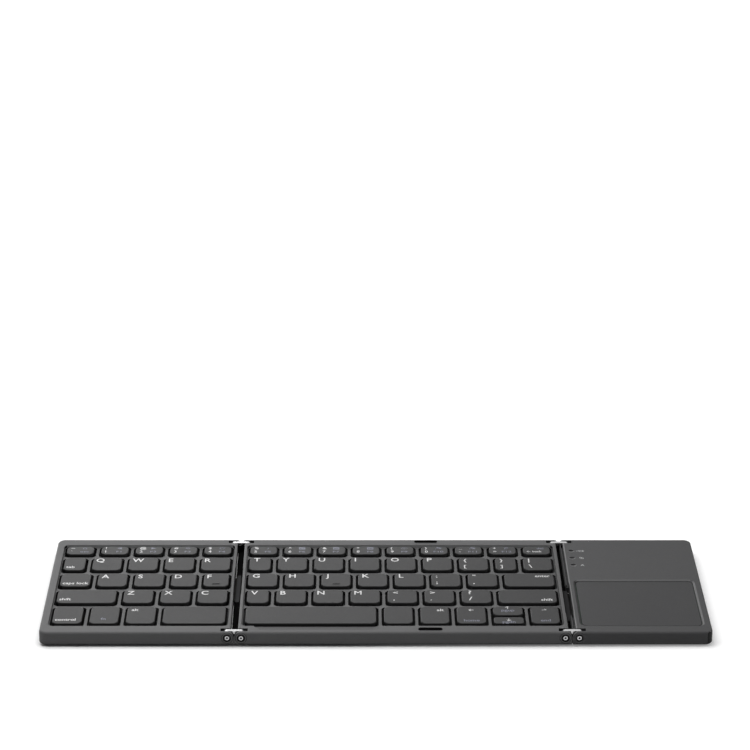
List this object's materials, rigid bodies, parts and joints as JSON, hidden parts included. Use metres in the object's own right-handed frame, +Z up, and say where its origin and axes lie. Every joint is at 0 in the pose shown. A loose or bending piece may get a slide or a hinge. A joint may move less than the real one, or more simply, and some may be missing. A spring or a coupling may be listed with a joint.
{
  "type": "folding keyboard",
  "caption": "Pocket keyboard in three panels, with a touchpad, that folds shut like gates on double-pivot hinges.",
  "frame": {"origin": "middle of the unfolded keyboard, on the surface its feet stand on", "axes": "+X to the typist's right along the keyboard, +Y away from the typist, +Z up"},
  "size_m": [0.3046, 0.098, 0.0076],
  "materials": {
    "case_plastic": "fine matt moulded",
    "base_plastic": "fine matt moulded",
    "key_plastic": "smooth matt",
    "touch_surface": "satin sheet",
    "hinge_steel": "polished",
    "screw_steel": "plated",
    "magnet_nickel": "nickel plated",
    "key_plate_aluminium": "stamped",
    "rubber": "matt",
    "dome_rubber": "matt",
    "circuit_board": "lacquered",
    "battery_foil": "foil pouch",
    "flex_film": "black polyimide film",
    "light_lens": "smoked clear"
  },
  "bodies": {
    "middle_panel": {"middle_base": "base_plastic", "middle_frame": "case_plastic", "middle_key_web": "case_plastic", "middle_key_plate": "key_plate_aluminium", "middle_dome_sheet": "dome_rubber", "middle_magnets": "magnet_nickel", "middle_screws": "screw_steel", "middle_feet": "rubber", "bumpers": "rubber"},
    "left_panel": {"left_base": "base_plastic", "left_frame": "case_plastic", "left_key_web": "case_plastic", "left_key_plate": "key_plate_aluminium", "left_dome_sheet": "dome_rubber", "left_magnets": "magnet_nickel", "left_screws": "screw_steel", "left_feet": "rubber"},
    "right_panel": {"right_base": "base_plastic", "right_cover": "case_plastic", "touchpad": "touch_surface", "touchpad_board": "circuit_board", "main_board": "circuit_board", "indicator_lights": "light_lens", "charging_port": "screw_steel", "battery": "battery_foil", "right_magnets": "magnet_nickel", "right_screws": "screw_steel", "right_feet": "rubber"},
    "left_hinge": {"left_links": "hinge_steel", "left_spine": "base_plastic", "left_hinge_pins": "hinge_steel", "left_flex_cable": "flex_film"},
    "right_hinge": {"right_links": "hinge_steel", "right_spine": "base_plastic", "right_hinge_pins": "hinge_steel", "right_flex_cable": "flex_film"},
    "number_keys_left": {"number_keys_left": "key_plastic"},
    "tab_key": {"tab_key": "key_plastic"},
    "letter_keys_q_to_r": {"letter_keys_q_to_r": "key_plastic"},
    "caps_key": {"caps_key": "key_plastic"},
    "letter_keys_a_to_f": {"letter_keys_a_to_f": "key_plastic"},
    "left_shift_key": {"left_shift_key": "key_plastic"},
    "letter_keys_z_to_c": {"letter_keys_z_to_c": "key_plastic"},
    "control_key": {"control_key": "key_plastic"},
    "fn_key": {"fn_key": "key_plastic"},
    "left_alt_key": {"left_alt_key": "key_plastic"},
    "left_space_key": {"left_space_key": "key_plastic"},
    "number_keys_right": {"number_keys_right": "key_plastic"},
    "letter_keys_t_to_p": {"letter_keys_t_to_p": "key_plastic"},
    "letter_keys_g_to_l": {"letter_keys_g_to_l": "key_plastic"},
    "enter_key": {"enter_key": "key_plastic"},
    "letter_keys_v_to_m": {"letter_keys_v_to_m": "key_plastic"},
    "right_shift_key": {"right_shift_key": "key_plastic"},
    "space_key": {"space_key": "key_plastic"},
    "right_control_key": {"right_control_key": "key_plastic"},
    "right_alt_key": {"right_alt_key": "key_plastic"},
    "arrow_left_key": {"arrow_left_key": "key_plastic"},
    "arrow_up_key": {"arrow_up_key": "key_plastic"},
    "arrow_down_key": {"arrow_down_key": "key_plastic"},
    "arrow_right_key": {"arrow_right_key": "key_plastic"}
  },
  "joints": [
    {"name": "fold_left", "type": "hinge", "parent": "middle_panel", "child": "left_hinge", "pos_m": [-0.061, 0, 0.00435], "axis": [0, 1, 0], "range_deg": [0, 90], "deforming": ["left_flex_cable"]},
    {"name": "fold_left_panel", "type": "hinge", "parent": "left_hinge", "child": "left_panel", "pos_m": [-0.0673, 0, 0.00435], "axis": [0, 1, 0], "range_deg": [0, 90]},
    {"name": "fold_right", "type": "hinge", "parent": "middle_panel", "child": "right_hinge", "pos_m": [0.08555, 0, 0.00435], "axis": [0, -1, 0], "range_deg": [0, 90], "deforming": ["right_flex_cable"]},
    {"name": "fold_right_panel", "type": "hinge", "parent": "right_hinge", "child": "right_panel", "pos_m": [0.09185, 0, 0.00435], "axis": [0, -1, 0], "range_deg": [0, 90]},
    {"name": "press_number_keys_left", "type": "slide", "parent": "left_panel", "child": "number_keys_left", "axis": [0, 0, -1], "range_m": [0, 0.0014], "stiffness_N_per_m": 300, "springref_m": -0.0005},
    {"name": "press_tab_key", "type": "slide", "parent": "left_panel", "child": "tab_key", "axis": [0, 0, -1], "range_m": [0, 0.0014], "stiffness_N_per_m": 300, "springref_m": -0.0005},
    {"name": "press_letter_keys_q_to_r", "type": "slide", "parent": "left_panel", "child": "letter_keys_q_to_r", "axis": [0, 0, -1], "range_m": [0, 0.0014], "stiffness_N_per_m": 300, "springref_m": -0.0005},
    {"name": "press_caps_key", "type": "slide", "parent": "left_panel", "child": "caps_key", "axis": [0, 0, -1], "range_m": [0, 0.0014], "stiffness_N_per_m": 300, "springref_m": -0.0005},
    {"name": "press_letter_keys_a_to_f", "type": "slide", "parent": "left_panel", "child": "letter_keys_a_to_f", "axis": [0, 0, -1], "range_m": [0, 0.0014], "stiffness_N_per_m": 300, "springref_m": -0.0005},
    {"name": "press_left_shift_key", "type": "slide", "parent": "left_panel", "child": "left_shift_key", "axis": [0, 0, -1], "range_m": [0, 0.0014], "stiffness_N_per_m": 300, "springref_m": -0.0005},
    {"name": "press_letter_keys_z_to_c", "type": "slide", "parent": "left_panel", "child": "letter_keys_z_to_c", "axis": [0, 0, -1], "range_m": [0, 0.0014], "stiffness_N_per_m": 300, "springref_m": -0.0005},
    {"name": "press_control_key", "type": "slide", "parent": "left_panel", "child": "control_key", "axis": [0, 0, -1], "range_m": [0, 0.0014], "stiffness_N_per_m": 300, "springref_m": -0.0005},
    {"name": "press_fn_key", "type": "slide", "parent": "left_panel", "child": "fn_key", "axis": [0, 0, -1], "range_m": [0, 0.0014], "stiffness_N_per_m": 300, "springref_m": -0.0005},
    {"name": "press_left_alt_key", "type": "slide", "parent": "left_panel", "child": "left_alt_key", "axis": [0, 0, -1], "range_m": [0, 0.0014], "stiffness_N_per_m": 300, "springref_m": -0.0005},
    {"name": "press_left_space_key", "type": "slide", "parent": "left_panel", "child": "left_space_key", "axis": [0, 0, -1], "range_m": [0, 0.0014], "stiffness_N_per_m": 300, "springref_m": -0.0005, "deforming": ["left_dome_sheet"]},
    {"name": "press_number_keys_right", "type": "slide", "parent": "middle_panel", "child": "number_keys_right", "axis": [0, 0, -1], "range_m": [0, 0.0014], "stiffness_N_per_m": 300, "springref_m": -0.0005},
    {"name": "press_letter_keys_t_to_p", "type": "slide", "parent": "middle_panel", "child": "letter_keys_t_to_p", "axis": [0, 0, -1], "range_m": [0, 0.0014], "stiffness_N_per_m": 300, "springref_m": -0.0005},
    {"name": "press_letter_keys_g_to_l", "type": "slide", "parent": "middle_panel", "child": "letter_keys_g_to_l", "axis": [0, 0, -1], "range_m": [0, 0.0014], "stiffness_N_per_m": 300, "springref_m": -0.0005},
    {"name": "press_enter_key", "type": "slide", "parent": "middle_panel", "child": "enter_key", "axis": [0, 0, -1], "range_m": [0, 0.0014], "stiffness_N_per_m": 300, "springref_m": -0.0005},
    {"name": "press_letter_keys_v_to_m", "type": "slide", "parent": "middle_panel", "child": "letter_keys_v_to_m", "axis": [0, 0, -1], "range_m": [0, 0.0014], "stiffness_N_per_m": 300, "springref_m": -0.0005},
    {"name": "press_right_shift_key", "type": "slide", "parent": "middle_panel", "child": "right_shift_key", "axis": [0, 0, -1], "range_m": [0, 0.0014], "stiffness_N_per_m": 300, "springref_m": -0.0005},
    {"name": "press_space_key", "type": "slide", "parent": "middle_panel", "child": "space_key", "axis": [0, 0, -1], "range_m": [0, 0.0014], "stiffness_N_per_m": 300, "springref_m": -0.0005, "deforming": ["middle_dome_sheet"]},
    {"name": "press_right_control_key", "type": "slide", "parent": "middle_panel", "child": "right_control_key", "axis": [0, 0, -1], "range_m": [0, 0.0014], "stiffness_N_per_m": 300, "springref_m": -0.0005},
    {"name": "press_right_alt_key", "type": "slide", "parent": "middle_panel", "child": "right_alt_key", "axis": [0, 0, -1], "range_m": [0, 0.0014], "stiffness_N_per_m": 300, "springref_m": -0.0005},
    {"name": "press_arrow_left_key", "type": "slide", "parent": "middle_panel", "child": "arrow_left_key", "axis": [0, 0, -1], "range_m": [0, 0.0014], "stiffness_N_per_m": 300, "springref_m": -0.0005},
    {"name": "press_arrow_up_key", "type": "slide", "parent": "middle_panel", "child": "arrow_up_key", "axis": [0, 0, -1], "range_m": [0, 0.0014], "stiffness_N_per_m": 300, "springref_m": -0.0005},
    {"name": "press_arrow_down_key", "type": "slide", "parent": "middle_panel", "child": "arrow_down_key", "axis": [0, 0, -1], "range_m": [0, 0.0014], "stiffness_N_per_m": 300, "springref_m": -0.0005},
    {"name": "press_arrow_right_key", "type": "slide", "parent": "middle_panel", "child": "arrow_right_key", "axis": [0, 0, -1], "range_m": [0, 0.0014], "stiffness_N_per_m": 300, "springref_m": -0.0005}
  ]
}
